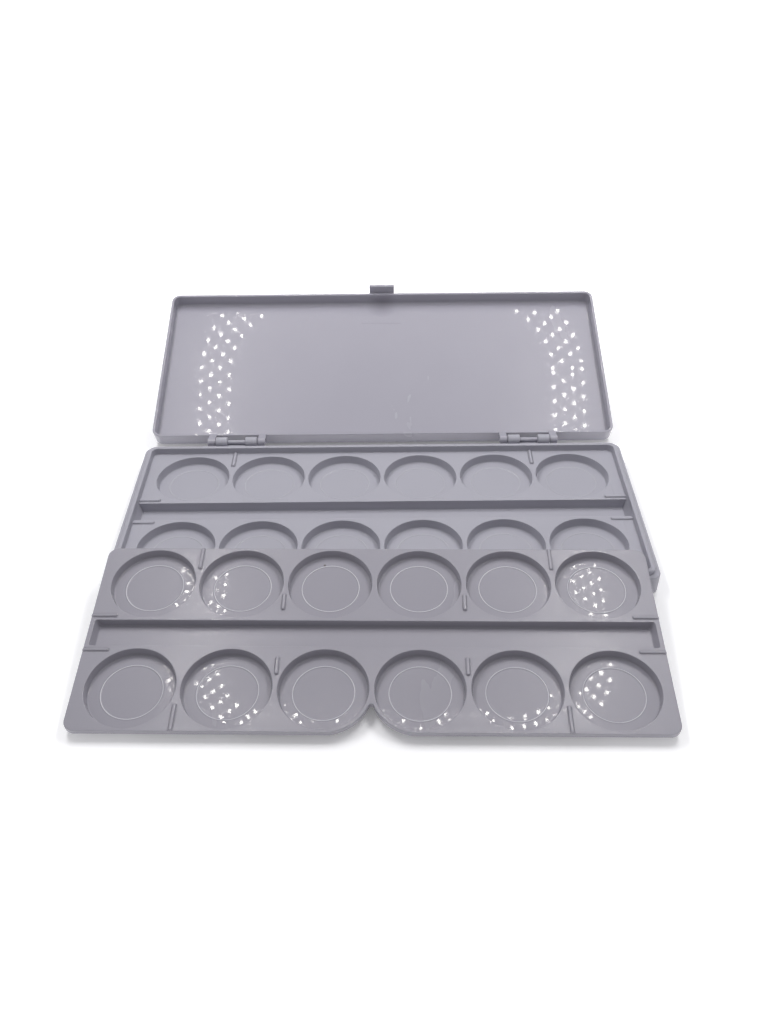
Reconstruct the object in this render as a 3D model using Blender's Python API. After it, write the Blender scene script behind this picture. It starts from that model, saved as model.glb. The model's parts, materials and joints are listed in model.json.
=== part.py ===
"""Watercolour mixing palette: a hinged plastic paint box with twelve round wells and a brush trough, and
a second twelve-well tray that lifts out of it. The lid is thrown back and the tray leans on the box's
front lip.

Every dimension is in millimetres and MM turns it into metres. X runs along the rows of wells, Y from the
front of the box to its hinges, and Z up from the table.
"""

import math

import bmesh
import bpy
from mathutils import Matrix, Vector

MM = 0.001

# Wells, the same in the box and in the tray.
WELLS_PER_ROW = 6
PITCH = 34.0
ROW_SPACING = 46.3
WELL_RADIUS = 16.15
WELL_FOOT_RADIUS = 15.6
WELL_SEGMENTS = 24
WALL = 1.2
CUP_RADIUS = WELL_RADIUS + WALL - 0.05
CUP_FOOT_RADIUS = WELL_FOOT_RADIUS + WALL - 0.05

# Box: a deck inside a raised lip, with a lower ledge round it that the lid's rim comes down on.
INNER_HALF_X, INNER_HALF_Y, INNER_CORNER = 106.0, 41.8, 2.2
LIP_THICKNESS = 1.8
LEDGE_WIDTH = 2.0
SKIRT_WALL = 1.6
BOX_TROUGH_HALF_WIDTH = 5.6
BOX_TROUGH_DEPTH, BOX_TROUGH_FLOOR = 4.6, 2.4
BOX_WELL_DEPTH = 3.9
DECK_Z = BOX_TROUGH_DEPTH + BOX_TROUGH_FLOOR
LEDGE_Z = DECK_Z + 1.3
LIP_Z = DECK_Z + 3.2

# Guide ribs.
RIB_WIDTH = 1.3
RIB_HEIGHT = 1.0
END_RIB_LENGTH = 10.5
SIDE_RIB_LENGTH = 9.5
INNER_RIB_NEAR, INNER_RIB_FAR = 10.4, 17.8
RIB_FROM_TROUGH = 1.9

# Lid.
RIM_GAP = 0.3
LID_WALL = 1.6
LID_TOP = 1.4
LID_INNER_DEPTH = 6.2
TAB_HALF_WIDTH, TAB_THICKNESS, TAB_ROOT, TAB_DROP, TAB_GAP = 6.4, 1.5, 2.4, 4.3, 0.35
LID_OPEN_DEG = 161.0

# Hinges: two lid lugs outside two box knuckles, all on one pin.
HINGE_CENTRE_X = 68.6
HINGE_BEHIND_BOX = 4.9
PIN_RADIUS = 1.0
BORE_RADIUS = 1.08
PIN_HALF_LENGTH = 13.4
KNUCKLE_RADIUS = 2.4
KNUCKLE_NEAR, KNUCKLE_FAR = 4.2, 9.7
LUG_NEAR, LUG_FAR = 10.0, 13.5
LUG_RADIUS = 2.0
LUG_THICKNESS = 2.0
TONGUE_THICKNESS = 1.4

# Tray.
TRAY_HALF_X, TRAY_HALF_Y, TRAY_CORNER = 105.3, 40.4, 4.0
TRAY_SKIRT_DEPTH = 2.2
TRAY_WELL_DEPTH = 3.4
TRAY_TROUGH_HALF_X, TRAY_TROUGH_HALF_WIDTH, TRAY_TROUGH_DEPTH = 103.6, 5.7, 3.5
NOTCH_LIP = 1.35
NOTCH_DEPTH_FROM_WELLS = 6.1
TRAY_TILT_DEG = 8.2
TRAY_YAW_DEG = -1.0
TRAY_SHIFT_X = -3.2
RESTING_GAP = 0.3

# Worked out from the dimensions above.
OUTER_HALF_X = INNER_HALF_X + LIP_THICKNESS + LEDGE_WIDTH
OUTER_HALF_Y = INNER_HALF_Y + LIP_THICKNESS + LEDGE_WIDTH
OUTER_CORNER = INNER_CORNER + 2.0
RIM_Z = LEDGE_Z + RIM_GAP
HINGE_Y = OUTER_HALF_Y + HINGE_BEHIND_BOX
HINGE_Z = DECK_Z + 0.3
WELL_XS = [(i - (WELLS_PER_ROW - 1) / 2) * PITCH for i in range(WELLS_PER_ROW)]
WELL_CENTRES = [(x, side * ROW_SPACING / 2) for side in (-1, 1) for x in WELL_XS]
OVERSHOOT = 1.0


def clear_scene():
    for obj in list(bpy.data.objects):
        bpy.data.objects.remove(obj, do_unlink=True)


def collection(name, helper=False):
    made = bpy.data.collections.new(name)
    bpy.context.scene.collection.children.link(made)
    made.hide_render = helper
    return made


def add_object(name, shape, where):
    """Turns a bmesh in millimetres into an object in metres."""
    bmesh.ops.scale(shape, vec=(MM, MM, MM), verts=shape.verts)
    bmesh.ops.recalc_face_normals(shape, faces=shape.faces)
    mesh = bpy.data.meshes.new(name)
    shape.to_mesh(mesh)
    shape.free()
    obj = bpy.data.objects.new(name, mesh)
    where.objects.link(obj)
    if where.hide_render:
        obj.hide_render = True
        obj.display_type = "WIRE"
    return obj


def block(name, x, y, z, where, corner=0.0, steps=4):
    """A box over the spans x, y and z, each (low, high), with its upright edges rounded by corner."""
    shape = bmesh.new()
    bmesh.ops.create_cube(shape, size=1.0)
    size = Vector((x[1] - x[0], y[1] - y[0], z[1] - z[0]))
    middle = Vector((sum(x), sum(y), sum(z))) / 2
    bmesh.ops.scale(shape, vec=size, verts=shape.verts)
    bmesh.ops.translate(shape, vec=middle, verts=shape.verts)
    if corner:
        upright = [e for e in shape.edges if abs(e.verts[0].co.z - e.verts[1].co.z) > size.z / 2]
        bmesh.ops.bevel(shape, geom=upright, offset=corner, segments=steps, profile=0.5, affect="EDGES")
    return add_object(name, shape, where)


def slab(name, half_x, half_y, z, where, corner=0.0):
    return block(name, (-half_x, half_x), (-half_y, half_y), z, where, corner)


def cone(name, centre, z, radii, where, segments=WELL_SEGMENTS):
    """An upright cone between heights z = (low, high) with radii = (low, high)."""
    shape = bmesh.new()
    bmesh.ops.create_cone(
        shape, cap_ends=True, segments=segments, radius1=radii[0], radius2=radii[1], depth=z[1] - z[0]
    )
    bmesh.ops.translate(shape, vec=(centre[0], centre[1], sum(z) / 2), verts=shape.verts)
    return add_object(name, shape, where)


def rod(name, x, centre_yz, radius, where, segments=20):
    """A cylinder along X over the span x, with its axis at centre_yz."""
    shape = bmesh.new()
    bmesh.ops.create_cone(
        shape, cap_ends=True, segments=segments, radius1=radius, radius2=radius, depth=x[1] - x[0]
    )
    bmesh.ops.rotate(shape, matrix=Matrix.Rotation(math.pi / 2, 3, "Y"), verts=shape.verts)
    bmesh.ops.translate(shape, vec=(sum(x) / 2, *centre_yz), verts=shape.verts)
    return add_object(name, shape, where)


def boolean(obj, operation, others):
    for other in others:
        modifier = obj.modifiers.new(f"{operation.lower()} {other.name}", "BOOLEAN")
        modifier.operation = operation
        modifier.solver = "EXACT"
        modifier.object = other


def bake(obj):
    """Replaces the object's mesh by its evaluated one, so that it can be moved away from its cutters."""
    graph = bpy.context.evaluated_depsgraph_get()
    mesh = bpy.data.meshes.new_from_object(obj.evaluated_get(graph))
    obj.modifiers.clear()
    obj.data = mesh
    mesh.name = obj.name


def give_material(obj, name, colour, roughness):
    material = bpy.data.materials.new(name)
    material.use_nodes = True
    shader = material.node_tree.nodes["Principled BSDF"]
    shader.inputs["Base Color"].default_value = (*colour, 1.0)
    shader.inputs["Roughness"].default_value = roughness
    material.diffuse_color = (*colour, 1.0)
    obj.data.materials.clear()
    obj.data.materials.append(material)


def hang_from(obj, empty_name, position, rotation, where):
    """Parents obj to an empty on its joint, keeping obj's own coordinates, then turns the empty."""
    empty = bpy.data.objects.new(empty_name, None)
    empty.empty_display_size = 10 * MM
    where.objects.link(empty)
    obj.parent = empty
    obj.location = -position
    empty.matrix_world = rotation


def well_cutters(prefix, deck_z, depth, where):
    """What the wells take out of a deck, each running past the deck's top with the same slope."""
    slope = (WELL_RADIUS - WELL_FOOT_RADIUS) / depth
    top = WELL_RADIUS + OVERSHOOT * slope
    return [
        cone(f"{prefix}_well_{i}", c, (deck_z - depth, deck_z + OVERSHOOT), (WELL_FOOT_RADIUS, top), where)
        for i, c in enumerate(WELL_CENTRES, 1)
    ]


def cups(prefix, deck_z, depth, where):
    """The outsides of the wells below a deck, starting half way through it."""
    z = (deck_z - depth - WALL, deck_z - WALL / 2)
    return [
        cone(f"{prefix}_cup_{i}", c, z, (CUP_FOOT_RADIUS, CUP_RADIUS), where)
        for i, c in enumerate(WELL_CENTRES, 1)
    ]


def rib(name, x, y, deck_z, where):
    return block(name, x, y, (deck_z - WALL / 2, deck_z + RIB_HEIGHT), where)


def end_ribs(prefix, deck_z, edge_y, where):
    """Ribs that run in from the long sides between the last two wells of each row."""
    between = (WELL_XS[0] + WELL_XS[1]) / 2
    made = []
    for sx in (-1, 1):
        for sy in (-1, 1):
            x = (sx * between - RIB_WIDTH / 2, sx * between + RIB_WIDTH / 2)
            y = sorted((sy * edge_y, sy * (edge_y - END_RIB_LENGTH)))
            made.append(rib(f"{prefix}_end_rib_{sx}_{sy}", x, y, deck_z, where))
    return made


def side_ribs(prefix, deck_z, edge_x, trough_half_width, where):
    """Ribs that run in from the short sides on both sides of the trough."""
    made = []
    for sx in (-1, 1):
        for sy in (-1, 1):
            centre_y = sy * (trough_half_width + RIB_FROM_TROUGH)
            x = sorted((sx * edge_x, sx * (edge_x - SIDE_RIB_LENGTH)))
            y = (centre_y - RIB_WIDTH / 2, centre_y + RIB_WIDTH / 2)
            made.append(rib(f"{prefix}_side_rib_{sx}_{sy}", x, y, deck_z, where))
    return made


def make_box(parts, cutters):
    lip_half_x, lip_half_y = INNER_HALF_X + LIP_THICKNESS, INNER_HALF_Y + LIP_THICKNESS
    above_lip = (DECK_Z, LIP_Z + OVERSHOOT)
    box = slab("box_base", OUTER_HALF_X, OUTER_HALF_Y, (0.0, LEDGE_Z), parts, OUTER_CORNER)
    lip = slab("box_lip", lip_half_x, lip_half_y, (DECK_Z - WALL / 2, LIP_Z), cutters, INNER_CORNER + 1.0)
    recess = slab("box_recess", INNER_HALF_X, INNER_HALF_Y, above_lip, cutters, INNER_CORNER)

    # The underside is hollow round the cups and the trough, so that every wall is thin.
    hollow = slab(
        "box_hollow", OUTER_HALF_X - SKIRT_WALL, OUTER_HALF_Y - SKIRT_WALL,
        (-OVERSHOOT, DECK_Z - WALL), cutters, OUTER_CORNER - SKIRT_WALL,
    )
    trough_outside = slab(
        "box_trough_outside", OUTER_HALF_X + OVERSHOOT, BOX_TROUGH_HALF_WIDTH + WALL,
        (-2 * OVERSHOOT, DECK_Z), cutters,
    )
    boolean(hollow, "DIFFERENCE", [trough_outside] + cups("box", DECK_Z, BOX_WELL_DEPTH, cutters))
    trough = slab(
        "box_trough", INNER_HALF_X, BOX_TROUGH_HALF_WIDTH,
        (DECK_Z - BOX_TROUGH_DEPTH, DECK_Z + OVERSHOOT), cutters,
    )

    boolean(box, "UNION", [lip])
    boolean(box, "DIFFERENCE", [hollow, recess, trough])
    boolean(box, "DIFFERENCE", well_cutters("box", DECK_Z, BOX_WELL_DEPTH, cutters))
    ribs = end_ribs("box", DECK_Z, INNER_HALF_Y + LIP_THICKNESS / 2, cutters)
    ribs += side_ribs("box", DECK_Z, INNER_HALF_X + LIP_THICKNESS / 2, BOX_TROUGH_HALF_WIDTH, cutters)
    boolean(box, "UNION", ribs)

    for sx, side in ((-1, "left"), (1, "right")):
        centre = sx * HINGE_CENTRE_X
        axis = (HINGE_Y, HINGE_Z)
        tongue = block(
            f"tongue_{side}",
            (centre - KNUCKLE_FAR, centre + KNUCKLE_FAR),
            (OUTER_HALF_Y - SKIRT_WALL / 2, HINGE_Y + 0.6),
            (HINGE_Z - KNUCKLE_RADIUS, HINGE_Z - KNUCKLE_RADIUS + TONGUE_THICKNESS),
            cutters,
        )
        knuckles = [
            rod(f"knuckle_{side}_{end}", sorted((centre + end * KNUCKLE_NEAR, centre + end * KNUCKLE_FAR)),
                axis, KNUCKLE_RADIUS, cutters)
            for end in (-1, 1)
        ]
        bore = rod(f"box_bore_{side}", (centre - LUG_NEAR, centre + LUG_NEAR), axis, BORE_RADIUS, cutters)
        boolean(box, "UNION", [tongue] + knuckles)
        boolean(box, "DIFFERENCE", [bore])
    bake(box)
    return box


def make_lid(parts, cutters):
    """Drawn shut, then turned back about the hinge pins."""
    top_z = RIM_Z + LID_INNER_DEPTH + LID_TOP
    lid = slab("lid", OUTER_HALF_X, OUTER_HALF_Y, (RIM_Z, top_z), parts, OUTER_CORNER)
    inside = slab(
        "lid_inside", OUTER_HALF_X - LID_WALL, OUTER_HALF_Y - LID_WALL,
        (RIM_Z - OVERSHOOT, RIM_Z + LID_INNER_DEPTH), cutters, OUTER_CORNER - LID_WALL,
    )
    boolean(lid, "DIFFERENCE", [inside])
    tab_x, tab_inner_y = (-TAB_HALF_WIDTH, TAB_HALF_WIDTH), -OUTER_HALF_Y - TAB_GAP
    tab_outer_y = tab_inner_y - TAB_THICKNESS
    root = block(
        "lid_tab_root", tab_x, (tab_outer_y, -OUTER_HALF_Y + LID_WALL / 2), (RIM_Z, RIM_Z + TAB_ROOT), cutters
    )
    tongue = block(
        "lid_tab_tongue", tab_x, (tab_outer_y, tab_inner_y), (RIM_Z - TAB_DROP, RIM_Z + OVERSHOOT), cutters
    )
    additions, bores = [root, tongue], []
    for sx, side in ((-1, "left"), (1, "right")):
        for end in (-1, 1):
            x = sorted((sx * HINGE_CENTRE_X + end * LUG_NEAR, sx * HINGE_CENTRE_X + end * LUG_FAR))
            arm = block(
                f"lug_arm_{side}_{end}", x, (OUTER_HALF_Y - LID_WALL / 2, HINGE_Y),
                (RIM_Z, RIM_Z + LUG_THICKNESS), cutters,
            )
            eye = rod(f"lug_eye_{side}_{end}", x, (HINGE_Y, HINGE_Z), LUG_RADIUS, cutters)
            additions += [arm, eye]
        centre = sx * HINGE_CENTRE_X
        bores.append(
            rod(f"lid_bore_{side}", (centre - LUG_FAR - OVERSHOOT, centre + LUG_FAR + OVERSHOOT),
                (HINGE_Y, HINGE_Z), BORE_RADIUS, cutters)
        )
    boolean(lid, "UNION", additions)
    boolean(lid, "DIFFERENCE", bores)
    bake(lid)

    axis = Vector((0, HINGE_Y, HINGE_Z)) * MM
    turned = Matrix.Translation(axis) @ Matrix.Rotation(math.radians(-LID_OPEN_DEG), 4, "X")
    hang_from(lid, "lid_hinge_axis", axis, turned, parts)
    return lid


def make_pins(parts):
    return [
        rod(f"hinge_pin_{side}", (centre - PIN_HALF_LENGTH, centre + PIN_HALF_LENGTH),
            (HINGE_Y, HINGE_Z), PIN_RADIUS, parts)
        for centre, side in ((-HINGE_CENTRE_X, "left"), (HINGE_CENTRE_X, "right"))
    ]


def make_notch(cutters):
    """The finger notch in the tray's front edge: its sides follow the two middle wells."""
    centre_y = -ROW_SPACING / 2
    radius = WELL_RADIUS + NOTCH_LIP
    mouth = math.sqrt(radius**2 - (TRAY_HALF_Y + centre_y) ** 2)
    z = (-3 * TRAY_TROUGH_DEPTH, 2 * OVERSHOOT)
    notch = block(
        "tray_notch", (mouth - PITCH / 2, PITCH / 2 - mouth),
        (-TRAY_HALF_Y - OVERSHOOT, centre_y - NOTCH_DEPTH_FROM_WELLS), z, cutters,
    )
    keep = [
        cone(f"notch_side_{sx}", (sx * PITCH / 2, centre_y), (z[0] - OVERSHOOT, z[1] + OVERSHOOT),
             (radius, radius), cutters, segments=48)
        for sx in (-1, 1)
    ]
    boolean(notch, "DIFFERENCE", keep)
    return notch


def make_tray(parts, cutters):
    """Drawn flat with its deck at height 0, then leant on the box's front lip."""
    bottom = -TRAY_TROUGH_DEPTH - WALL
    tray = slab("insert_tray", TRAY_HALF_X, TRAY_HALF_Y, (bottom, 0.0), parts, TRAY_CORNER)
    hollow = slab(
        "tray_hollow", TRAY_HALF_X - WALL, TRAY_HALF_Y - WALL,
        (bottom - OVERSHOOT, -WALL), cutters, TRAY_CORNER - WALL,
    )
    below_skirt = slab(
        "tray_below_skirt", TRAY_HALF_X + OVERSHOOT, TRAY_HALF_Y + OVERSHOOT,
        (bottom - OVERSHOOT, -TRAY_SKIRT_DEPTH), cutters,
    )
    trough_outside = slab(
        "tray_trough_outside", TRAY_TROUGH_HALF_X + WALL, TRAY_TROUGH_HALF_WIDTH + WALL,
        (bottom - 2 * OVERSHOOT, -WALL / 2), cutters,
    )
    boolean(hollow, "UNION", [below_skirt])
    boolean(hollow, "DIFFERENCE", [trough_outside] + cups("tray", 0.0, TRAY_WELL_DEPTH, cutters))
    trough = slab(
        "tray_trough", TRAY_TROUGH_HALF_X, TRAY_TROUGH_HALF_WIDTH, (-TRAY_TROUGH_DEPTH, OVERSHOOT), cutters
    )
    boolean(tray, "DIFFERENCE", [hollow, make_notch(cutters), trough])
    boolean(tray, "DIFFERENCE", well_cutters("tray", 0.0, TRAY_WELL_DEPTH, cutters))

    ribs = end_ribs("tray", 0.0, TRAY_HALF_Y - 0.2, cutters)
    ribs += side_ribs("tray", 0.0, TRAY_HALF_X - 0.8, TRAY_TROUGH_HALF_WIDTH, cutters)
    for sx in (-1, 1):
        for sy in (-1, 1):
            y = sorted((sy * INNER_RIB_NEAR, sy * INNER_RIB_FAR))
            x = (sx * PITCH - RIB_WIDTH / 2, sx * PITCH + RIB_WIDTH / 2)
            ribs.append(rib(f"tray_inner_rib_{sx}_{sy}", x, y, 0.0, cutters))
    boolean(tray, "UNION", ribs)
    bake(tray)

    hang_from(tray, "tray_lean", Vector(), tray_pose(), parts)
    return tray


def tray_pose():
    """The tray's front cups stand on the table and its rear cups lie on the box's front lip."""
    tilt = math.radians(TRAY_TILT_DEG)
    cup_bottom = TRAY_WELL_DEPTH + WALL
    front = ROW_SPACING / 2 + CUP_FOOT_RADIUS
    z = RESTING_GAP + front * math.sin(tilt) + cup_bottom * math.cos(tilt)
    lip_y = -(INNER_HALF_Y + LIP_THICKNESS)
    lip_z = LIP_Z + RESTING_GAP
    y = lip_y - (cup_bottom - (z - lip_z) * math.cos(tilt)) / math.sin(tilt)
    turn = Matrix.Rotation(math.radians(TRAY_YAW_DEG), 4, "Z") @ Matrix.Rotation(tilt, 4, "X")
    return Matrix.Translation(Vector((TRAY_SHIFT_X, y, z)) * MM) @ turn


def main():
    clear_scene()
    parts = collection("mixing_palette")
    cutters = collection("mixing_palette_cutters", helper=True)
    box = make_box(parts, cutters)
    lid = make_lid(parts, cutters)
    tray = make_tray(parts, cutters)
    give_material(box, "box_plastic", (0.40, 0.395, 0.445), 0.30)
    give_material(lid, "lid_plastic", (0.385, 0.375, 0.43), 0.20)
    give_material(tray, "tray_plastic", (0.345, 0.335, 0.38), 0.25)
    for pin in make_pins(parts):
        give_material(pin, "pin_plastic", (0.40, 0.395, 0.445), 0.30)


main()
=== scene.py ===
"""Looks of the watercolour mixing palette: smooth mouldings with their fine edges, ribs and well rings,
glossy plastic, and a white light tent with a ring of small lamps in its ceiling.

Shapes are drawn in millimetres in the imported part's own frame and made metres at the end. X runs along the
wells, Y from the front to the hinges, Z up from the table.
"""

import json
import math

import bmesh
import bpy
from mathutils import Matrix, Vector


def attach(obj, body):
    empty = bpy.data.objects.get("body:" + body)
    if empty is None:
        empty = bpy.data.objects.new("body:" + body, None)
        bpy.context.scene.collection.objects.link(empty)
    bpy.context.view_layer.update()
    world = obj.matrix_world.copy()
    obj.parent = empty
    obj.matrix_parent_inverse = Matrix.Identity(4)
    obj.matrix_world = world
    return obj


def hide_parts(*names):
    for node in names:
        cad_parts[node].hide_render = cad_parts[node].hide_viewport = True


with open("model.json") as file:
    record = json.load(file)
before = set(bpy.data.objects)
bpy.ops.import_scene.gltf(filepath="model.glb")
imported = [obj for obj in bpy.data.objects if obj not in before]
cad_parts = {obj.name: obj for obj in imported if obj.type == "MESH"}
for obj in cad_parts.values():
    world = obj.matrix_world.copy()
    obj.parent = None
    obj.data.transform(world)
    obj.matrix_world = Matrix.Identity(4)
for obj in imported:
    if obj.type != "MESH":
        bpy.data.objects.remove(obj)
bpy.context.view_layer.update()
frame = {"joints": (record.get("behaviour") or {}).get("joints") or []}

MM = 0.001

# The wells, in the box and in the tray.
PITCH, ROW_SPACING = 34.0, 46.3
WELL_RADIUS, WELL_FOOT_RADIUS, RING_RADIUS = 16.15, 15.6, 11.0
CUP_RADIUS, CUP_FOOT_RADIUS = 16.7, 16.2
WELL_XS = [(i - 2.5) * PITCH for i in range(6)]
WELL_CROWN, RING_FOOT, RING_HEIGHT = 0.028, 0.42, 0.26
RIM_BANDS = 2  # the bands at a well's rim that keep the deck's finish
RING_CREST = (RING_RADIUS, 0.15)  # its radius and the half width of the band on it that is painted lighter, a painted highlight
THIN = 0.6  # what is left of a wall below a deck, between a well and its neighbour
SEGMENTS, PIN_SIDES = 96, 32  # points round a well and round a pin

# The box.
DECK_Z, LEDGE_Z, LIP_Z = 7.0, 8.3, 10.2
OUTER_HALF = (109.8, 45.6)
LIP_OUT, LIP_IN, SKIRT = 2.0, 3.8, 1.6
BOX_WELL_DEPTH, BOX_TROUGH_DEPTH, BOX_TROUGH_HALF, TROUGH_DRAFT = 3.9, 4.6, 5.6, 1.1
DECK_WALL, POCKET_CORNER, RIB_HALF = 1.2, 2.4, 0.7

# The lid, drawn shut, and the hinges.
RIM_Z, LID_INSIDE, LID_TOP, LID_WALL = 8.6, 6.2, 1.4, 1.3
TAB_HALF, TAB_THICKNESS, TAB_ROOT, TAB_DROP, TAB_GAP = 6.4, 1.5, 2.4, 4.3, 0.35
HINGE_X, PIN_RADIUS = 68.6, 1.0
KNUCKLE_INNER, KNUCKLE_OUTER, KNUCKLE_RADIUS = 4.2, 9.7, 2.4
LUG_INNER, LUG_OUTER, LUG_RADIUS = 10.0, 13.5, 2.0
PIN_HALF_LENGTH, BORE_PLAY = 13.4, 0.08
SHARP_ANGLE = math.radians(40)

# The tray, drawn flat with its deck at 0.
TRAY_HALF, TRAY_CORNER, TRAY_SKIRT = (105.3, 40.4), 4.0, 2.2
TRAY_WELL_DEPTH, TRAY_TROUGH_DEPTH = 3.4, 3.5
TRAY_TROUGH_HALF = (103.6, 5.7)
NOTCH_RADIUS, NOTCH_APEX = 17.5, 0.9
TRAY_TILT, TRAY_TURN, TRAY_SHIFT = math.radians(8.2), math.radians(-1.0), -3.2
TRAY_CUP_FOOT, RESTING_GAP = 16.75, 0.3

joints = {joint["name"]: joint for joint in frame["joints"]}
hinge = joints["lid_hinge"]
HINGE_Y, HINGE_Z = hinge["pos_m"][1] / MM, hinge["pos_m"][2] / MM
OPEN_ANGLE = math.radians(hinge["range_deg"][1])


# ---------------------------------------------------------------- outlines and profiles


def rounded_rect(half_x, half_y, radius, centre=(0.0, 0.0), steps=10):
    points = []
    for quarter, (sx, sy) in enumerate(((1, 1), (-1, 1), (-1, -1), (1, -1))):
        for step in range(steps + 1):
            angle = math.pi / 2 * (quarter + step / steps)
            points.append((
                centre[0] + sx * (half_x - radius) + radius * math.cos(angle),
                centre[1] + sy * (half_y - radius) + radius * math.sin(angle),
            ))
    return points


def circle(centre, radius, segments=SEGMENTS):
    turns = [2 * math.pi * i / segments for i in range(segments)]
    return [(centre[0] + radius * math.cos(turn), centre[1] + radius * math.sin(turn)) for turn in turns]


def rounded_path(corners, steps=6):
    """A path through (a, b) or (a, b, radius) corners, with each radius made an arc."""
    path = []
    for i, corner in enumerate(corners):
        here = Vector(corner[:2])
        if len(corner) < 3 or i in (0, len(corners) - 1):
            path.append(tuple(here))
            continue
        back, on = Vector(corners[i - 1][:2]) - here, Vector(corners[i + 1][:2]) - here
        half = back.angle(on) / 2
        reach = min(corner[2] / math.tan(half), 0.48 * back.length, 0.48 * on.length)
        radius = reach * math.tan(half)
        centre = here + (back.normalized() + on.normalized()).normalized() * (radius / math.sin(half))
        start, stop = here + back.normalized() * reach - centre, here + on.normalized() * reach - centre
        sweep = start.angle(stop)
        for step in range(steps + 1):
            t = step / steps
            arm = (start * math.sin((1 - t) * sweep) + stop * math.sin(t * sweep)) / math.sin(sweep)
            path.append(tuple(centre + arm))
    return path


def offset(outline, distance):
    """The outline moved inwards by distance, each point along its own corner's bisector."""
    moved = []
    for i, point in enumerate(outline):
        here = Vector(point)
        back = (here - Vector(outline[i - 1])).normalized()
        on = (Vector(outline[(i + 1) % len(outline)]) - here).normalized()
        normal = Vector((-(back.y + on.y), back.x + on.x)).normalized()
        spread = max(0.5, normal.dot(Vector((-on.y, on.x))))
        moved.append(tuple(here + normal * (distance / spread)))
    return moved


def evenly_along(outline, pitch, start):
    """Points at an even pitch along a closed outline."""
    points, left = [], start
    for i, point in enumerate(outline):
        here, on = Vector(point), Vector(outline[(i + 1) % len(outline)])
        length = (on - here).length
        while left < length:
            points.append(tuple(here.lerp(on, left / length)))
            left += pitch
        left -= length
    return points


# ---------------------------------------------------------------- mesh building


PLAIN, POLISH, LIT_CREST = range(3)  # the finishes of a moulding, in the order of its materials; the third is a lighter painted highlight on the crests of the well rings


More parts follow.
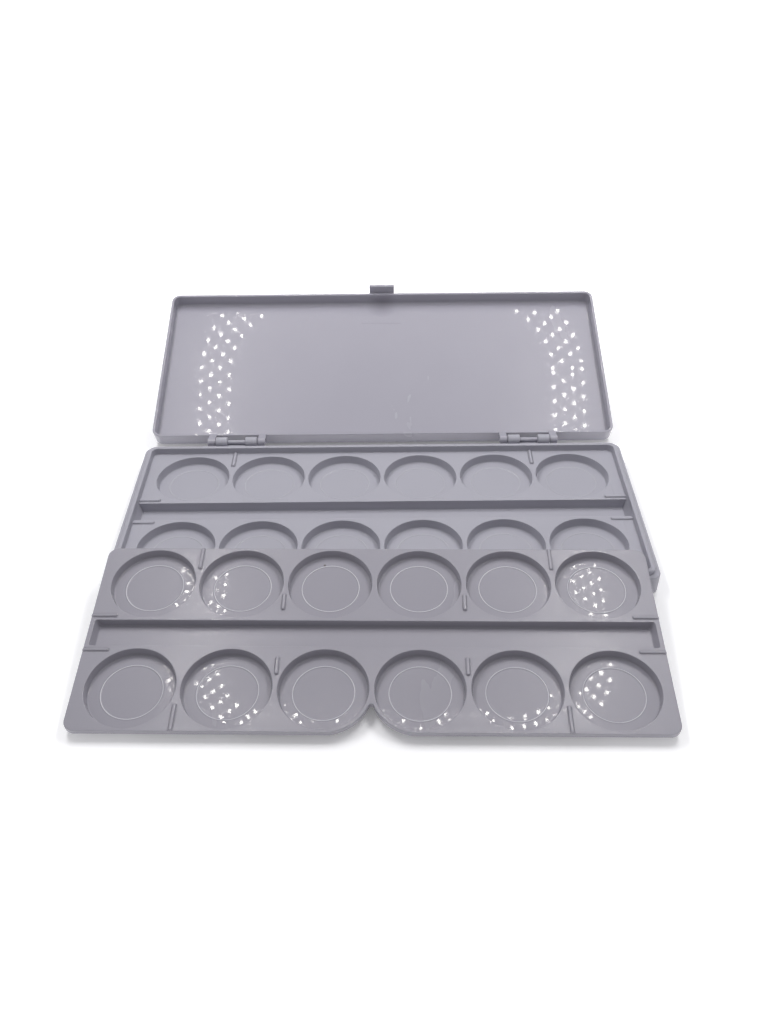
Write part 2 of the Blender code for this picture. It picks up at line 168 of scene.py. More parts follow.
class Shape:
    """A bmesh in millimetres, with the faces of each finish marked by material index."""

    def __init__(self):
        self.bm = bmesh.new()
        self.finish = PLAIN

    def ring(self, outline, z):
        return [self.bm.verts.new((x, y, z)) for x, y in outline]

    def join(self, first, second):
        for i in range(len(first)):
            j = (i + 1) % len(first)
            face = self.bm.faces.new((first[i], first[j], second[j], second[i]))
            face.material_index = self.finish

    def loft(self, sections, plain=0, lit_bands=()):
        """Joins (outline, z) sections and gives back the end rings. Some bands can be plain or painted
        lighter, a painted highlight.
        """
        rings = [self.ring(outline, z) for outline, z in sections]
        finish = self.finish
        for band, (first, second) in enumerate(zip(rings, rings[1:])):
            self.finish = PLAIN if band < plain else LIT_CREST if band in lit_bands else finish
            self.join(first, second)
        self.finish = finish
        return rings[0], rings[-1]

    def stack(self, path, outline_at):
        """Rings across X: at each (along, size) of the path, the (y, z) outline for that size."""
        return [[self.bm.verts.new((along, y, z)) for y, z in outline_at(size)] for along, size in path]

    def fill(self, *rings):
        """A flat face inside the first ring, with the others as holes."""
        edges = []
        for ring in rings:
            for i in range(len(ring)):
                ends = (ring[i], ring[(i + 1) % len(ring)])
                edges.append(self.bm.edges.get(ends) or self.bm.edges.new(ends))
        made = bmesh.ops.triangle_fill(self.bm, use_beauty=True, use_dissolve=False, edges=edges)
        for face in made["geom"]:
            if isinstance(face, bmesh.types.BMFace):
                face.material_index = self.finish

    def lathe(self, centre, profile, plain=0, crest=None):
        """Turns a (radius, z) profile about an upright line, closes its end and gives back its first ring.

        The first bands get the plain finish, and those on a crest (radius, half width) the lighter one, a
        painted highlight where the lamps glint on the ring.
        """
        lit_bands = [
            band for band, (first, second) in enumerate(zip(profile, profile[1:]))
            if crest and abs((first[0] + second[0]) / 2 - crest[0]) < crest[1]
        ]
        first, last = self.loft([(circle(centre, r), z) for r, z in profile], plain, lit_bands)
        self.bm.faces.new(last).material_index = self.finish
        return first

    def tube(self, x, centre, radii, edge=0.25, segments=40):
        """A ring along X over the span x, between radii (inner, outer), with rounded outer ends."""
        inner, outer = radii
        section = rounded_path([
            (x[0], inner), (x[0], outer, edge), (x[1], outer, edge), (x[1], inner),
        ], 4)
        rings = self.stack(section, lambda radius: circle(centre, radius, segments))
        for first, second in zip(rings, rings[1:] + rings[:1]):
            self.join(first, second)

    def lug(self, x, root, centre, radius, edge=0.2):
        """A plate across x that tapers from its root (y, low z, high z) to an eye round a hinge axis."""
        y, low, high = root
        outline = [(y, high), (y, low)]
        start = self.tangent(outline[-1], centre, radius, -1)
        stop = self.tangent(outline[0], centre, radius, 1)
        while stop < start:
            stop += 2 * math.pi
        for step in range(25):
            angle = start + (stop - start) * step / 24
            outline.append((centre[0] + radius * math.cos(angle), centre[1] + radius * math.sin(angle)))
        path = ((x[0], edge), (x[0] + edge, 0.0), (x[1] - edge, 0.0), (x[1], edge))
        rings = self.stack(path, lambda inset: offset(outline, inset))
        for first, second in zip(rings, rings[1:]):
            self.join(first, second)
        eye = circle(centre, PIN_RADIUS + BORE_PLAY, PIN_SIDES)
        bore = [[self.bm.verts.new((along, a, b)) for a, b in eye] for along in x]
        self.join(*bore)
        for ring, hole in zip((rings[0], rings[-1]), bore):
            self.fill(ring, hole)

    @staticmethod
    def tangent(point, centre, radius, side):
        """The angle on the circle where a line from the point touches it, on one side or the other."""
        arm = Vector(point) - Vector(centre)
        return math.atan2(arm.y, arm.x) + side * -math.acos(radius / arm.length)

    def block(self, x, y, z, radius=0.3, segments=3):
        """A box with every edge rounded."""
        made = bmesh.ops.create_cube(self.bm, size=1.0)["verts"]
        size = Vector((x[1] - x[0], y[1] - y[0], z[1] - z[0]))
        bmesh.ops.scale(self.bm, vec=size, verts=made)
        bmesh.ops.translate(self.bm, vec=Vector((sum(x), sum(y), sum(z))) / 2, verts=made)
        edges = {edge for vert in made for edge in vert.link_edges}
        bmesh.ops.bevel(
            self.bm, geom=list(edges), offset=radius, segments=segments, profile=0.5, affect="EDGES"
        )

    def bead(self, x, y, z, height):
        """A guide rib standing on a deck, with drafted sides, a rounded top and a small root."""
        half = ((x[1] - x[0]) / 2, (y[1] - y[0]) / 2)
        centre = ((x[0] + x[1]) / 2, (y[0] + y[1]) / 2)
        thin = min(half)
        sections = []
        path = rounded_path([
            (-0.3, -0.1), (-0.3, 0.0), (0.0, 0.0, 0.2), (0.2, height, 0.5), (thin - 0.08, height + 0.04),
        ], 4)
        for inset, up in path:
            radius = max(0.05, 0.75 * thin - inset)
            outline = rounded_rect(half[0] - inset, half[1] - inset, radius, centre, 4)
            sections.append((outline, z + up))
        first, last = self.loft(sections)
        self.bm.faces.new(first)
        self.bm.faces.new(last)

    def turned(self, matrix):
        bmesh.ops.transform(self.bm, matrix=matrix, verts=self.bm.verts)
        return self


def well_profile(deck_z, depth):
    """A well from the flat deck, down its drafted wall and over a fine ring to its barely crowned middle."""
    floor = deck_z - depth
    wall = rounded_path([
        (WELL_RADIUS + 0.45, deck_z), (WELL_RADIUS, deck_z, 0.22), (WELL_FOOT_RADIUS, floor, 0.6),
        (WELL_FOOT_RADIUS - 1.6, floor + 0.06, 1.5), (RING_RADIUS + RING_FOOT, floor + 0.10, 0.5),
        (RING_RADIUS, floor + RING_HEIGHT, 0.55), (RING_RADIUS - RING_FOOT, floor, 0.5),
        (RING_RADIUS - 1.4, floor + 0.006),
    ], 5)
    return wall + [(r, floor + WELL_CROWN * (1 - (r / RING_RADIUS) ** 2)) for r in (8.0, 5.0, 2.0, 0.6)]


def cup_profile(top_z, bottom_z):
    return rounded_path([(CUP_RADIUS, top_z), (CUP_FOOT_RADIUS, bottom_z, 1.2), (12.0, bottom_z)], 5) + [
        (4.0, bottom_z)
    ]


def ribs(shape, edge_x, edge_y, trough_half, z):
    """The four guide ribs at the long edges and the four beside the trough's ends."""
    for sx in (-1, 1):
        for sy in (-1, 1):
            x = sx * 2 * PITCH
            y = sorted((sy * edge_y, sy * (edge_y - 10.4)))
            shape.bead((x - RIB_HALF, x + RIB_HALF), y, z, 0.75)
            y = sy * (trough_half + 1.9)
            x = sorted((sx * edge_x, sx * (edge_x - 9.5)))
            shape.bead(x, (y - RIB_HALF, y + RIB_HALF), z, 0.6)


# ---------------------------------------------------------------- materials


class NodeTree:
    """The nodes of a material or a world, with short ways to add to them."""

    def __init__(self, owner):
        owner.use_nodes = True
        self.nodes, self.link = owner.node_tree.nodes, owner.node_tree.links.new

    def add(self, kind):
        return self.nodes.new("ShaderNode" + kind)

    def coordinates(self, kind):
        return self.add("TexCoord").outputs[kind]

    def ramp(self, value, low, high, start, stop):
        """Maps a value between low and high to one between start and stop."""
        mapped = self.add("MapRange")
        for socket, number in zip(("From Min", "From Max", "To Min", "To Max"), (low, high, start, stop)):
            mapped.inputs[socket].default_value = number
        self.link(value, mapped.inputs["Value"])
        return mapped.outputs["Result"]

    def noise(self, where, scale, detail, stretch=(1, 1, 1), turn=0.0):
        mapping, texture = self.add("Mapping"), self.add("TexNoise")
        mapping.inputs["Scale"].default_value = stretch
        mapping.inputs["Rotation"].default_value = (0, 0, turn)
        texture.inputs["Scale"].default_value = scale
        texture.inputs["Detail"].default_value = detail
        self.link(where, mapping.inputs["Vector"])
        self.link(mapping.outputs["Vector"], texture.inputs["Vector"])
        return texture.outputs["Fac"]

    def mixed(self, factor, first, second):
        """Two colours, given as numbers or as sockets, mixed by a factor."""
        mix = self.add("Mix")
        mix.data_type = "RGBA"
        sockets = [socket for socket in mix.inputs if socket.type == "RGBA"]
        for socket, value in zip(sockets, (first, second)):
            if isinstance(value, tuple):
                socket.default_value = (*value, 1.0)
            else:
                self.link(value, socket)
        self.link(factor, mix.inputs["Factor"])
        return next(socket for socket in mix.outputs if socket.type == "RGBA")

    def bump(self, height, strength, distance, over=None):
        node = self.add("Bump")
        node.inputs["Strength"].default_value = strength
        node.inputs["Distance"].default_value = distance
        self.link(height, node.inputs["Height"])
        if over:
            self.link(over, node.inputs["Normal"])
        return node.outputs["Normal"]


def darker(colour, share):
    return tuple(share * channel for channel in colour)


def plastic(name, colour, roughness, haze, gloss, waviness, grain, shade_spot=None):
    """Moulded polystyrene in an even colour, with faint clouding and a few specks.

    The body has the given haze, with wipe marks in its roughness and fine tool grain, under a skin of the
    given gloss. Both have the slow waviness of a thin moulding. If given, the last argument is the centre of
    a patch of painted shade, such as the one on the lid's inside at the foot of its front wall, behind the
    catch tab.
    """
    material = bpy.data.materials.new(name)
    tree = NodeTree(material)
    shader = tree.nodes["Principled BSDF"]
    shader.inputs["IOR"].default_value = 1.5
    shader.inputs["Specular IOR Level"].default_value = haze
    shader.inputs["Coat Weight"].default_value = gloss
    shader.inputs["Coat Roughness"].default_value = SKIN_ROUGHNESS
    where = tree.coordinates("Object")

    cloud = tree.ramp(tree.noise(where, CLOUD_SCALE, 3), 0.35, 0.65, 0.0, 1.0)
    clouded = tree.mixed(cloud, darker(colour, CLOUD_SHADE), colour)
    cells = tree.add("TexVoronoi")
    cells.inputs["Scale"].default_value = SPECK_SCALE
    tree.link(where, cells.inputs["Vector"])
    speck = tree.ramp(cells.outputs["Distance"], *SPECK_RADII, 0.8, 0.0)
    surface = tree.mixed(speck, clouded, SPECK_COLOUR)
    # Painted shade: the colour darkened round the given centre.
    if shade_spot:
        away = tree.add("VectorMath")
        away.operation = "DISTANCE"
        away.inputs[1].default_value = shade_spot
        tree.link(where, away.inputs[0])
        painted_shade = tree.ramp(away.outputs["Value"], *SHADE_SPOT_RADII, 0.42, 0.0)
        surface = tree.mixed(painted_shade, surface, darker(colour, SHADE_SPOT_DARKNESS))
    tree.link(surface, shader.inputs["Base Color"])

    wipes = tree.noise(where, WIPE_SCALE, 4, WIPE_STRETCH, WIPE_TURN)
    tree.link(tree.ramp(wipes, 0.25, 0.75, 0.9 * roughness, 1.12 * roughness), shader.inputs["Roughness"])
    slow = tree.bump(tree.noise(where, WAVE_SCALE, 1), waviness, WAVE_HEIGHT)
    tree.link(slow, shader.inputs["Coat Normal"])
    fine = tree.bump(tree.noise(where, GRAIN_SCALE, 2), grain, GRAIN_HEIGHT, slow)
    tree.link(fine, shader.inputs["Normal"])
    return material


# ---------------------------------------------------------------- pieces


def finished(shape, name, body, slot_name, materials, *replaced):
    """Turns the shape into an object in metres that rides on a body and stands for its CAD nodes."""
    bmesh.ops.recalc_face_normals(shape.bm, faces=shape.bm.faces)
    bmesh.ops.scale(shape.bm, vec=(MM, MM, MM), verts=shape.bm.verts)
    mesh = bpy.data.meshes.new(name)
    shape.bm.to_mesh(mesh)
    shape.bm.free()
    for material in materials:
        mesh.materials.append(material)
    smoothed(mesh)
    obj = bpy.data.objects.new(name, mesh)
    bpy.context.scene.collection.objects.link(obj)
    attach(obj, body)
    if replaced:
        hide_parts(*replaced)
    return obj


def smoothed(mesh):
    mesh.shade_smooth()
    mesh.set_sharp_from_angle(angle=SHARP_ANGLE)


def flatten_shading(obj):
    """Keeps broad flat faces evenly shaded up to the small arcs round them."""
    weighted = obj.modifiers.new("even flats", "WEIGHTED_NORMAL")
    weighted.mode = "FACE_AREA"
    weighted.weight = 100
    weighted.keep_sharp = True


def box_outline(inset):
    corner = max(0.6, 4.2 - 0.5 * inset) if inset < LIP_IN + 0.2 else 2.2
    return rounded_rect(OUTER_HALF[0] - inset, OUTER_HALF[1] - inset, corner)


def hollow_underside(box, bottom):
    """Two pockets either side of the trough, with the cups standing in them."""
    pockets, ceiling_z = [], DECK_Z - DECK_WALL
    inner_y, outer_y = BOX_TROUGH_HALF + THIN, OUTER_HALF[1] - SKIRT
    for side in (-1, 1):
        centre = (0.0, side * (inner_y + outer_y) / 2)
        pocket = [
            (rounded_rect(OUTER_HALF[0] - SKIRT, (outer_y - inner_y) / 2, POCKET_CORNER, centre), z)
            for z in (0.0, ceiling_z)
        ]
        mouth, ceiling = box.loft(pocket)
        pockets.append(mouth)
        cups = [
            box.lathe((x, side * ROW_SPACING / 2), cup_profile(ceiling_z, ceiling_z - BOX_WELL_DEPTH))
            for x in WELL_XS
        ]
        box.fill(ceiling, *cups)
    box.fill(bottom, *pockets)


def cut_trough(box):
    """The brush trough runs from wall to wall, so it is cut out of the deck and the foot of the lip."""
    groove = Shape()
    half, top = BOX_TROUGH_HALF, DECK_Z + 0.03
    floor = DECK_Z - BOX_TROUGH_DEPTH
    section = rounded_path([
        (-half - 0.25, top + 0.6), (-half - 0.25, top), (-half, top, 0.22), (-half + 0.15, floor, 0.4),
        (half - 0.15, floor, 0.4), (half, top, 0.22), (half + 0.25, top), (half + 0.25, top + 0.6),
    ])
    ends = []
    for side in (-1, 1):
        end = []
        for y, z in section:
            draft = TROUGH_DRAFT * max(0.0, (DECK_Z - z) / BOX_TROUGH_DEPTH)
            end.append(groove.bm.verts.new((side * (OUTER_HALF[0] - LIP_IN - 0.1 - draft), y, z)))
        ends.append(end)
    groove.join(*ends)
    for end in ends:
        groove.bm.faces.new(end)
    cutter = finished(groove, "trough_cutter", "box", "box_plastic", [SATIN])
    cut = box.modifiers.new("trough", "BOOLEAN")
    cut.operation, cut.solver, cut.object = "DIFFERENCE", "EXACT", cutter
    mesh = bpy.data.meshes.new_from_object(box.evaluated_get(bpy.context.evaluated_depsgraph_get()))
    box.modifiers.clear()
    box.data = mesh
    bpy.data.objects.remove(cutter)
    smoothed(mesh)


def make_box():
    box = Shape()
    path = rounded_path([
        (0.35, 0.0), (0.0, 0.0, 0.3), (0.0, LEDGE_Z, 0.5), (LIP_OUT, LEDGE_Z, 0.3),
        (LIP_OUT + 0.08, LIP_Z, 0.4), (LIP_IN - 0.05, LIP_Z, 0.4), (LIP_IN + 0.05, DECK_Z, 0.35),
        (4.6, DECK_Z),
    ])
    bottom, deck = box.loft([(box_outline(inset), z) for inset, z in path])
    hollow_underside(box, bottom)

    box.finish = POLISH
    wells = well_profile(DECK_Z, BOX_WELL_DEPTH)
    centres = [(x, side * ROW_SPACING / 2) for side in (-1, 1) for x in WELL_XS]
    rims = [box.lathe(centre, wells, RIM_BANDS, RING_CREST) for centre in centres]
    box.finish = PLAIN
    box.fill(deck, *rims)
    obj = finished(box, "box_moulding", "box", "box_plastic", [SATIN, POLISHED, BOX_CREST_HIGHLIGHT], "box_base")
    cut_trough(obj)
    flatten_shading(obj)


def make_ribs_and_knuckles():
    extras = Shape()
    ribs(extras, OUTER_HALF[0] - LIP_IN + 0.3, OUTER_HALF[1] - LIP_IN + 0.3, BOX_TROUGH_HALF, DECK_Z)
    for side in (-1, 1):
        centre, foot_z = side * HINGE_X, HINGE_Z - KNUCKLE_RADIUS
        extras.block(
            (centre - KNUCKLE_OUTER, centre + KNUCKLE_OUTER), (OUTER_HALF[1] - 0.8, HINGE_Y + 0.4),
            (foot_z, foot_z + 1.4), 0.2,
        )
        for end in (-1, 1):
            span = sorted((centre + end * KNUCKLE_INNER, centre + end * KNUCKLE_OUTER))
            extras.tube(span, (HINGE_Y, HINGE_Z), (PIN_RADIUS + BORE_PLAY, KNUCKLE_RADIUS), 0.35)
    finished(extras, "box_ribs_and_knuckles", "box", "box_plastic", [SATIN], "box_base")


def make_pins():
    half, chamfer = PIN_HALF_LENGTH, 0.3
    for side, name in ((-1, "left"), (1, "right")):
        pin = Shape()
        path = rounded_path([
            (-half, 0.12), (-half, PIN_RADIUS, chamfer), (half, PIN_RADIUS, chamfer), (half, 0.12),
        ], 4)
        rings = pin.stack(
            [(side * HINGE_X + along, radius) for along, radius in path],
            lambda radius: circle((HINGE_Y, HINGE_Z), radius, PIN_SIDES),
        )
        for first, second in zip(rings, rings[1:]):
            pin.join(first, second)
        pin.bm.faces.new(rings[0])
        pin.bm.faces.new(rings[-1])
        finished(pin, f"pin_rod_{name}", "box", "pin_plastic", [SATIN], f"hinge_pin_{name}")


def opened_lid():
    """Turns what is drawn shut back about the hinge pins."""
    axis = Vector((0, HINGE_Y, HINGE_Z))
    return Matrix.Translation(axis) @ Matrix.Rotation(-OPEN_ANGLE, 4, "X") @ Matrix.Translation(-axis)


def make_lid():
    lid = Shape()
    inside_z = RIM_Z + LID_INSIDE
    top_z = inside_z + LID_TOP
    path = rounded_path([
        (LID_WALL + 3.0, inside_z), (LID_WALL + 0.15, inside_z, 1.1), (LID_WALL, RIM_Z, 0.35),
        (0.0, RIM_Z, 0.35), (0.2, top_z, 1.5), (3.0, top_z),
    ], 8)
    inside, outside = lid.loft([
        (rounded_rect(OUTER_HALF[0] - inset, OUTER_HALF[1] - inset, max(1.2, 4.2 - inset)), z)
        for inset, z in path
    ])
    lid.fill(inside)
    lid.fill(outside)

    # The catch tongue, a root on the front wall with a thin plate down from it.
    front = -OUTER_HALF[1]
    tongue_y = (front - TAB_GAP - TAB_THICKNESS, front - TAB_GAP)
    lid.block((-TAB_HALF, TAB_HALF), (tongue_y[0], front + 0.6), (RIM_Z, RIM_Z + TAB_ROOT), 0.3)
    lid.block((-TAB_HALF, TAB_HALF), tongue_y, (RIM_Z - TAB_DROP, RIM_Z + 1.0), 0.3)
    for side in (-1, 1):
        for end in (-1, 1):
            span = sorted((side * HINGE_X + end * LUG_INNER, side * HINGE_X + end * LUG_OUTER))
            root = (OUTER_HALF[1] - 0.8, RIM_Z + 0.02, RIM_Z + 1.7)
            lid.lug(span, root, (HINGE_Y, HINGE_Z), LUG_RADIUS)

    # A faint line where two flows of the melt met.
    flow_y = front + 15.5
    lid.block((-10.5, 10.0), (flow_y - 0.15, flow_y + 0.15), (inside_z - 0.07, inside_z + 0.1), 0.05)
    lid.turned(opened_lid())
    flatten_shading(finished(lid, "lid_moulding", "lid", "lid_plastic", [LID_GLOSS], "lid"))


def tray_outline():
    """The tray's edge, anticlockwise from its rear right corner, with the notch between the middle wells."""
    half_x, half_y = TRAY_HALF
    corners = rounded_rect(half_x, half_y, TRAY_CORNER)
    centre_y = -ROW_SPACING / 2
    apex_y = centre_y - math.sqrt((NOTCH_RADIUS + NOTCH_APEX) ** 2 - (PITCH / 2) ** 2)
    mouth = math.asin((half_y + centre_y) / NOTCH_RADIUS)
    meet = math.asin((centre_y - apex_y) / (NOTCH_RADIUS + NOTCH_APEX))
    left, steps = [], 22
    for step in range(steps + 1):
        angle = mouth + (meet - mouth) * step / steps
        left.append((
            -PITCH / 2 + NOTCH_RADIUS * math.cos(angle), centre_y - NOTCH_RADIUS * math.sin(angle)
        ))
    apex, steps = [], 12
    for step in range(1, steps):
        angle = math.pi - meet - (math.pi - 2 * meet) * step / steps
        apex.append((NOTCH_APEX * math.cos(angle), apex_y + NOTCH_APEX * math.sin(angle)))
    right = [(-x, y) for x, y in reversed(left)]
    last_corner = 3 * len(corners) // 4
    return corners[:last_corner] + left + apex + right + corners[last_corner:]


def tray_trough(tray):
    """The closed trough's inside, from its mouth to its floor."""
    half_x, half_y = TRAY_TROUGH_HALF
    path = rounded_path([
        (-0.4, 0.0), (0.0, 0.0, 0.22), (0.2, -TRAY_TROUGH_DEPTH, 0.4), (2.0, -TRAY_TROUGH_DEPTH),
    ])
    sections = []
    for inset, z in path:
        draft, corner = TROUGH_DRAFT * z / TRAY_TROUGH_DEPTH, max(0.5, 0.9 - 0.3 * inset)
        sections.append((rounded_rect(half_x - inset + draft, half_y - inset, corner), z))
    opening, floor = tray.loft(sections)
    tray.fill(floor)
    return opening


def make_tray():
    tray = Shape()
    edge = tray_outline()
    path = rounded_path([
        (0.5, -DECK_WALL), (0.42, -DECK_WALL), (0.42, -TRAY_SKIRT, 0.1), (0.0, -TRAY_SKIRT, 0.15),
        (0.04, 0.0, 0.3), (0.42, 0.0),
    ], 5)
    under, deck = tray.loft([(offset(edge, inset), z) for inset, z in path])
    centres = [(x, side * ROW_SPACING / 2) for side in (-1, 1) for x in WELL_XS]

    cups = [tray.lathe(centre, cup_profile(-DECK_WALL, -TRAY_WELL_DEPTH - DECK_WALL)) for centre in centres]
    half_x, half_y = (half + THIN for half in TRAY_TROUGH_HALF)
    bottom_z = -TRAY_TROUGH_DEPTH - DECK_WALL
    path = rounded_path([(0.0, -DECK_WALL), (0.0, bottom_z, 0.8), (2.0, bottom_z)], 5)
    mouth, bottom = tray.loft([(rounded_rect(half_x - inset, half_y - inset, 1.6), z) for inset, z in path])
    tray.fill(under, mouth, *cups)
    tray.fill(bottom)

    tray.finish = POLISH
    wells = well_profile(0.0, TRAY_WELL_DEPTH)
    rims = [tray.lathe(centre, wells, RIM_BANDS, RING_CREST) for centre in centres]
    tray.finish = PLAIN
    tray.fill(deck, tray_trough(tray), *rims)

    ribs(tray, TRAY_HALF[0] - 0.2, TRAY_HALF[1] - 0.15, TRAY_TROUGH_HALF[1], 0.0)
    for sx in (-1, 1):
        for sy in (-1, 1):
            y = sorted((sy * 10.4, sy * 17.8))
            tray.bead((sx * PITCH - RIB_HALF, sx * PITCH + RIB_HALF), y, 0.0, 0.8)
    leant = Matrix.Rotation(TRAY_TURN, 4, "Z") @ Matrix.Rotation(TRAY_TILT, 4, "X")
    tray.turned(Matrix.Translation(tray_place()) @ leant)
    finishes = [TRAY_SATIN, TRAY_GLOSS, TRAY_CREST_HIGHLIGHT]
    flatten_shading(finished(tray, "tray_moulding", "tray", "tray_plastic", finishes, "insert_tray"))


def tray_place():
    """The tray's front cups stand on the table and its rear cups lie on the box's front lip."""
    cup_bottom, front = TRAY_WELL_DEPTH + DECK_WALL, ROW_SPACING / 2 + TRAY_CUP_FOOT
    z = RESTING_GAP + front * math.sin(TRAY_TILT) + cup_bottom * math.cos(TRAY_TILT)
    lip_y, lip_z = -(OUTER_HALF[1] - LIP_OUT), LIP_Z + RESTING_GAP
    y = lip_y - (cup_bottom - (z - lip_z) * math.cos(TRAY_TILT)) / math.sin(TRAY_TILT)
    return Vector((TRAY_SHIFT, y, z))


# ---------------------------------------------------------------- scene


def staged(name, bm, material):
    mesh = bpy.data.meshes.new(name)
    bm.to_mesh(mesh)
    bm.free()
    mesh.materials.append(material)
    obj = bpy.data.objects.new(name, mesh)
    bpy.context.scene.collection.objects.link(obj)
    return obj


def make_floor():
    """White paper, which the tent's walls light more farther out."""
    paper = bpy.data.materials.new("white_paper")
    tree = NodeTree(paper)
    shader = tree.nodes["Principled BSDF"]
    shader.inputs["Base Color"].default_value = (0.93, 0.93, 0.94, 1)
    shader.inputs["Roughness"].default_value = 0.9
    shader.inputs["Specular IOR Level"].default_value = 0.1
    shader.inputs["Emission Color"].default_value = (1, 1, 1, 1)
    distance = tree.add("VectorMath")
    distance.operation = "LENGTH"
    tree.link(tree.coordinates("Object"), distance.inputs[0])
    glow = tree.ramp(distance.outputs["Value"], *PAPER_GLOW_REACH, *PAPER_GLOW)
    tree.link(glow, shader.inputs["Emission Strength"])
    sheet = bmesh.new()
    bmesh.ops.create_grid(sheet, x_segments=1, y_segments=1, size=PAPER_HALF)
    staged("studio_floor", sheet, paper).location.z = -PAPER_GAP


def make_tent():
    """Soft light that grows towards the top of the tent, against a plain white backdrop."""
    world = bpy.data.worlds.new("tent")
    tree = NodeTree(world)
    fill, backdrop, seen = tree.nodes["Background"], tree.add("Background"), tree.add("MixShader")
    fill.inputs["Color"].default_value = (0.97, 0.965, 1.0, 1)
    backdrop.inputs["Color"].default_value = (1, 1, 1, 1)
    direction = tree.add("SeparateXYZ")
    tree.link(tree.coordinates("Generated"), direction.inputs[0])
    tree.link(tree.ramp(direction.outputs["Z"], 0.0, 1.0, *TENT_LIGHT), fill.inputs["Strength"])
    tree.link(tree.add("LightPath").outputs["Is Camera Ray"], seen.inputs["Fac"])
    tree.link(fill.outputs["Background"], seen.inputs[1])
    tree.link(backdrop.outputs["Background"], seen.inputs[2])
    tree.link(seen.outputs["Shader"], tree.nodes["World Output"].inputs["Surface"])
    bpy.context.scene.world = world


def make_strips():
    """Two soft strips give the light of the lamp ring's two sides."""
    for side in (-1, 1):
        strip = bpy.data.lights.new("strip", "AREA")
        strip.shape, strip.size, strip.size_y = "RECTANGLE", *STRIP_SIZE
        strip.energy = STRIP_WATTS
        panel = bpy.data.objects.new("strip", strip)
        panel.location = (RING_CENTRE[0] + side * RING_HALF[0], STRIP_Y, RING_Z)
        panel.visible_glossy = False
        bpy.context.scene.collection.objects.link(panel)


def make_lamp_ring():
    """Four rounded rows of small lamps round the tent's ceiling, seen only in the gloss."""
    lamp = bpy.data.materials.new("ring_lamp")
    tree = NodeTree(lamp)
    tree.nodes.remove(tree.nodes["Principled BSDF"])
    glow = tree.add("Emission")
    glow.inputs["Color"].default_value = (1.0, 0.96, 0.90, 1)
    glow.inputs["Strength"].default_value = LAMP_GLOW
    tree.link(glow.outputs["Emission"], tree.nodes["Material Output"].inputs["Surface"])
    lamps = bmesh.new()
    downward = Matrix.Rotation(math.pi, 4, "X")
    for row in range(RING_ROWS):
        out = (row - (RING_ROWS - 1) / 2) * RING_ROW
        half_x, half_y = RING_HALF[0] + out, RING_HALF[1] + out
        outline = rounded_rect(half_x, half_y, RING_CORNER + out, RING_CENTRE, 24)
        for x, y in evenly_along(outline, LAMP_PITCH, (row % 2) * LAMP_PITCH / 2):
            place = Matrix.Translation((x, y, RING_Z)) @ downward
            bmesh.ops.create_circle(lamps, cap_ends=True, segments=8, radius=LAMP_RADIUS, matrix=place)
    seen = staged("lamp_ring", lamps, lamp)
    seen.visible_camera = seen.visible_diffuse = seen.visible_shadow = False


def make_camera():
    camera = bpy.data.cameras.new("camera")
    camera.sensor_fit = "HORIZONTAL"
    camera.sensor_width = 36.0
    camera.lens = CAMERA_REACH * camera.sensor_width
    camera.clip_start = 0.01
    obj = bpy.data.objects.new("camera", camera)
    obj.location = CAMERA_AT
    obj.rotation_euler = [math.radians(angle) for angle in CAMERA_TURN]
    bpy.context.scene.collection.objects.link(obj)
    bpy.context.scene.camera = obj


# Sizes of what the plastic shows, in metres or per metre.
CLOUD_SCALE, CLOUD_SHADE = 28, 0.98
SPECK_SCALE, SPECK_RADII, SPECK_COLOUR = 26, (0.010, 0.016), (0.12, 0.10, 0.09)
# The reach and darkness of a patch of painted shade.
SHADE_SPOT_RADII, SHADE_SPOT_DARKNESS = (0.0015, 0.0085), 0.45
WIPE_SCALE, WIPE_STRETCH, WIPE_TURN = 60, (1.0, 0.16, 1.0), 0.5
WAVE_SCALE, WAVE_HEIGHT = 16, 0.0006
GRAIN_SCALE, GRAIN_HEIGHT = 2600, 0.00001
SKIN_ROUGHNESS = 0.035

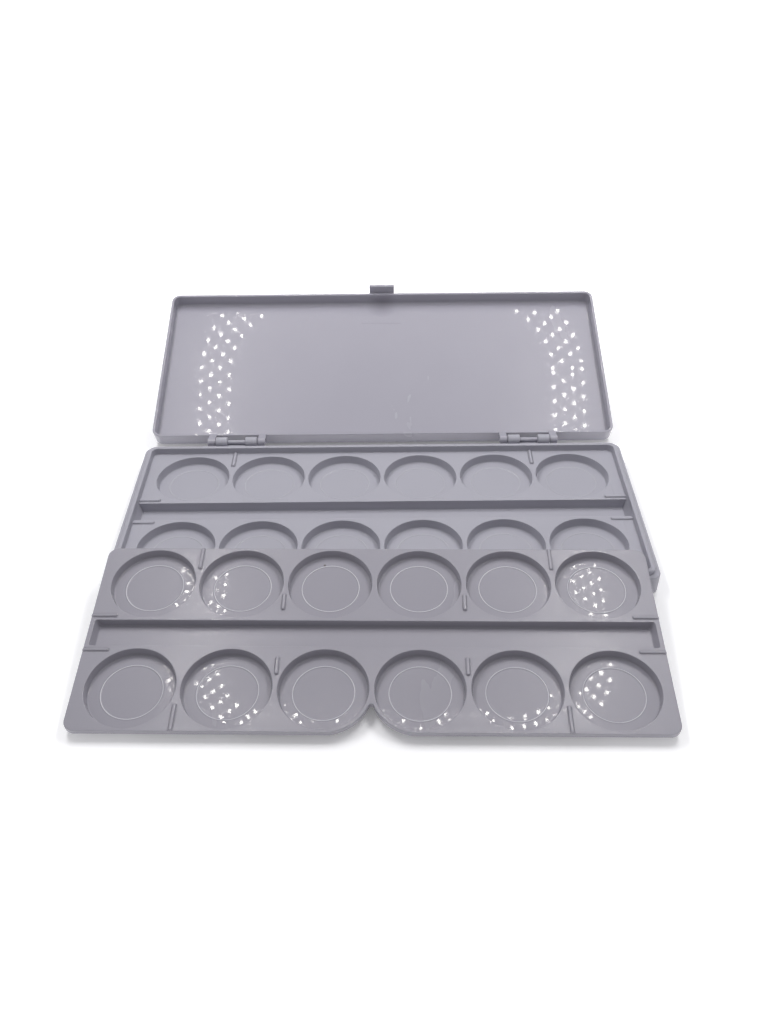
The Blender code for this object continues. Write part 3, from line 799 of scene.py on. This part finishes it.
# The floor, the lights and the camera, in metres, watts and degrees.
PAPER_HALF, PAPER_GAP = 6.0, 0.0002
PAPER_GLOW_REACH, PAPER_GLOW = (0.09, 0.34), (0.10, 0.80)
TENT_LIGHT = (0.26, 0.42)  # at the horizon and overhead
STRIP_SIZE, STRIP_Y, STRIP_WATTS = (0.09, 0.32), 0.12, 1.12
RING_CENTRE, RING_HALF, RING_CORNER, RING_Z = (0.0055, 0.20), (0.174, 0.151), 0.086, 0.45
RING_ROWS, RING_ROW, LAMP_PITCH, LAMP_RADIUS, LAMP_GLOW = 4, 0.0094, 0.0145, 0.0015, 50.0
CAMERA_AT, CAMERA_TURN = (0.00354, -0.31389, 0.26576), (50.351, 0.644, -0.021)
CAMERA_REACH = 946.6 / 768  # focal length over sensor width

BOX_GREY, TRAY_GREY, LID_GREY = (0.40, 0.395, 0.445), (0.34, 0.33, 0.375), (0.37, 0.36, 0.415)
# Centre of the painted shade on the lid's inside, at the foot of its front wall behind the catch tab.
TAB_SHADE_SPOT = opened_lid() @ Vector((0, -42.5, 14.0)) * MM
# Roughness, haze, gloss, waviness and grain.
SATIN = plastic("moulded_satin", BOX_GREY, 0.34, 0.4, 0.05, 0.10, 0.35)
POLISHED = plastic("moulded_polished", (0.395, 0.39, 0.44), 0.30, 0.4, 0.08, 0.10, 0.1)
# Lighter than the box's plastic: a painted highlight on the crests of the box's well rings, standing in for
# the lamps' glints.
BOX_CREST_HIGHLIGHT = plastic("box_crest_highlight", (0.48, 0.475, 0.52), 0.25, 0.5, 0.3, 0.10, 0.1)
LID_GLOSS = plastic("lid_gloss", LID_GREY, 0.25, 0.6, 0.9, 0.10, 0.05, shade_spot=TAB_SHADE_SPOT)
TRAY_SATIN = plastic("tray_satin", TRAY_GREY, 0.24, 1.0, 0.05, 0.12, 0.2)
TRAY_GLOSS = plastic("tray_gloss", (0.33, 0.32, 0.365), 0.25, 0.5, 1.0, 0.10, 0.05)
# Much lighter than the tray's plastic: a painted highlight on the crests of the tray's well rings, standing
# in for the lamps' glints.
TRAY_CREST_HIGHLIGHT = plastic("tray_crest_highlight", (0.60, 0.59, 0.64), 0.2, 0.5, 0.8, 0.10, 0.05)

make_box()
make_ribs_and_knuckles()
make_pins()
make_lid()
make_tray()
make_floor()
make_tent()
make_strips()
make_lamp_ring()
make_camera()
bpy.context.scene.view_settings.view_transform = "Standard"
